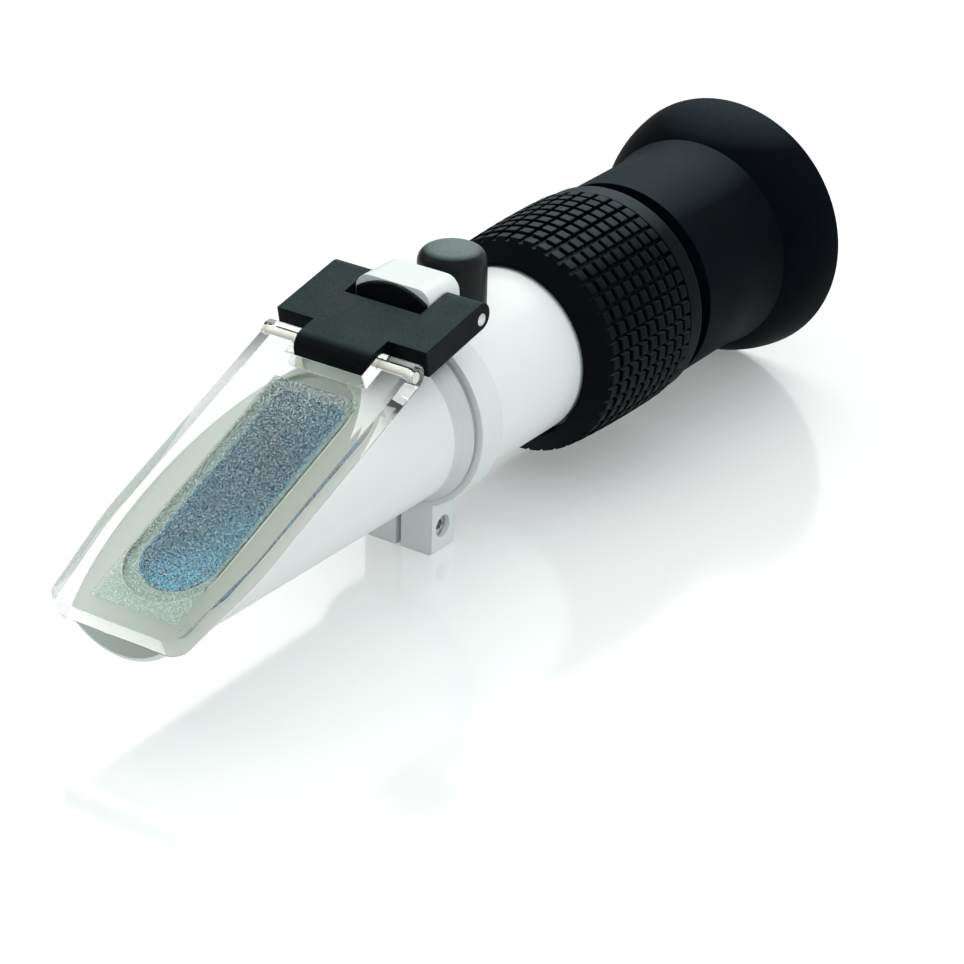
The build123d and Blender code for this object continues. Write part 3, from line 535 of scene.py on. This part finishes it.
# Painted shade: a blue disc where the real window opens on the shaded inside of the tube.
bmesh.ops.create_circle(
    window, cap_ends=True, segments=48, radius=disc_radius, matrix=disc_place @ upright
)
window.to_mesh(paint.data)
window.free()
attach(paint, "body")
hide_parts("prism_lining")
print("window closed at y =", round((lining_rear - disc_inset) / MM, 2), "mm")

# %% [markdown]
# ## Sealant
# A thin bead of pale green sealant seats the prism. One even colour would look like plastic. A
# real bead is put on by hand, so its colour is uneven at about a millimetre, and a finer noise
# dents its skin.

# %% Sealant
sealant, tree, shader = finish_material("sealant")
cloud = grain(tree, size_mm=1.0, detail=4.0)
compound = between(tree, cloud, (0.55, 0.58, 0.40), (0.72, 0.75, 0.58))
tree.links.new(compound, shader.inputs["Base Color"])
tree.links.new(spread(tree, cloud, 0.35, 0.5), shader.inputs["Roughness"])
uneven = bump(tree, grain(tree, size_mm=0.4), depth_mm=0.03, strength=0.5)
tree.links.new(uneven, shader.inputs["Normal"])
dress(sealant, "prism_seal")

# %% [markdown]
# ## Table
# The table is glossy and white, and fades into the background. It could be left out and the
# shadow painted, but then nothing would mirror the instrument. So it is a real surface that
# the lamps light. A little glow lifts it towards white, and only the camera and the rays that
# glass and metal send on see that glow, so that it doesn't light the instrument from below.


# %% Table
def seen_by(tree, *kinds):
    """One for rays of any of these kinds, and zero for all others."""
    path = tree.nodes.new("ShaderNodeLightPath")
    seen = path.outputs[kinds[0]]
    for kind in kinds[1:]:
        seen = larger(tree, seen, path.outputs[kind])
    return seen


table_half = 3.0
table_mesh = bpy.data.meshes.new("table")
grid = bmesh.new()
bmesh.ops.create_grid(grid, x_segments=2, y_segments=2, size=table_half)
grid.to_mesh(table_mesh)
grid.free()
table = bpy.data.objects.new("table", table_mesh)
scene.collection.objects.link(table)

glossy_table, tree, shader = finish_material("glossy_table")
shader.inputs["Base Color"].default_value = (0.80, 0.80, 0.80, 1)
shader.inputs["Roughness"].default_value = 0.12
shader.inputs["IOR"].default_value = 1.8
shown = seen_by(tree, "Is Camera Ray", "Is Glossy Ray", "Is Transmission Ray")
glow = tree.nodes.new("ShaderNodeEmission")
tree.links.new(spread(tree, shown, 0.0, 0.22), glow.inputs["Strength"])
both = tree.nodes.new("ShaderNodeAddShader")
tree.links.new(shader.outputs[0], both.inputs[0])
tree.links.new(glow.outputs[0], both.inputs[1])
tree.links.new(both.outputs[0], tree.nodes["Material Output"].inputs["Surface"])
table_mesh.materials.append(glossy_table)
print("table", 2 * table_half, "m wide")

# %% [markdown]
# ## Lamps
# A spot or a sun would draw hard shadows and small highlights. A studio lights a glossy thing
# with large soft panels, which are area lamps here. The main one is slightly warm and hangs over
# the back of the table, so the shadow falls towards the viewer. A weaker one on the left fills
# the shadows there.


# %% Lamps
def panel(name, place, width, height, power, colour):
    """A soft rectangular lamp that faces the instrument."""
    data = bpy.data.lights.new(name, "AREA")
    data.shape = "RECTANGLE"
    data.size, data.size_y = width, height
    data.energy = power
    data.color = colour
    lamp = bpy.data.objects.new(name, data)
    lamp.location = place
    lamp.rotation_euler = (-Vector(place)).to_track_quat("-Z", "Y").to_euler()
    scene.collection.objects.link(lamp)
    print(name, power, "W, from", place)


WARM_WHITE = (1.0, 0.97, 0.935)
PLAIN_WHITE = (1.0, 1.0, 1.0)
panel("back_panel", (-0.25, 0.75, 0.85), width=1.0, height=0.7, power=4.0, colour=WARM_WHITE)
panel("left_panel", (-0.8, -0.35, 0.6), width=0.5, height=0.5, power=1.0, colour=PLAIN_WHITE)

# %% [markdown]
# ## The room
# The rest of the light comes from the room, which is the world's background. It is a pale cool
# white, brightest up and to the right and dim at the lower left, as the faces in the picture
# show. An environment picture could do that, but the dot product of the direction with the
# brightest one is enough. What the camera sees behind the table, also through the clear plate,
# is plain white with strength 1, so those rays get the white and the larger strength.

# %% Room
world = bpy.data.worlds.new("pale_room")
scene.world = world
world.use_nodes = True
tree = world.node_tree
room = tree.nodes["Background"]
backdrop = seen_by(tree, "Is Camera Ray", "Is Transmission Ray")
room_colour = between(tree, backdrop, (0.92, 0.985, 0.985), PLAIN_WHITE, start=0, end=1)
tree.links.new(room_colour, room.inputs["Color"])
brightest = (0.62, 0.42, 0.66)
look = tree.nodes.new("ShaderNodeTexCoord")
towards = along(tree, look.outputs["Generated"], brightest)
room_light = spread(tree, towards, 0.15, 1.0, start=-0.45, end=0.3)
tree.links.new(larger(tree, room_light, backdrop), room.inputs["Strength"])
scene.view_settings.view_transform = "Standard"
print("room brightest towards", brightest)
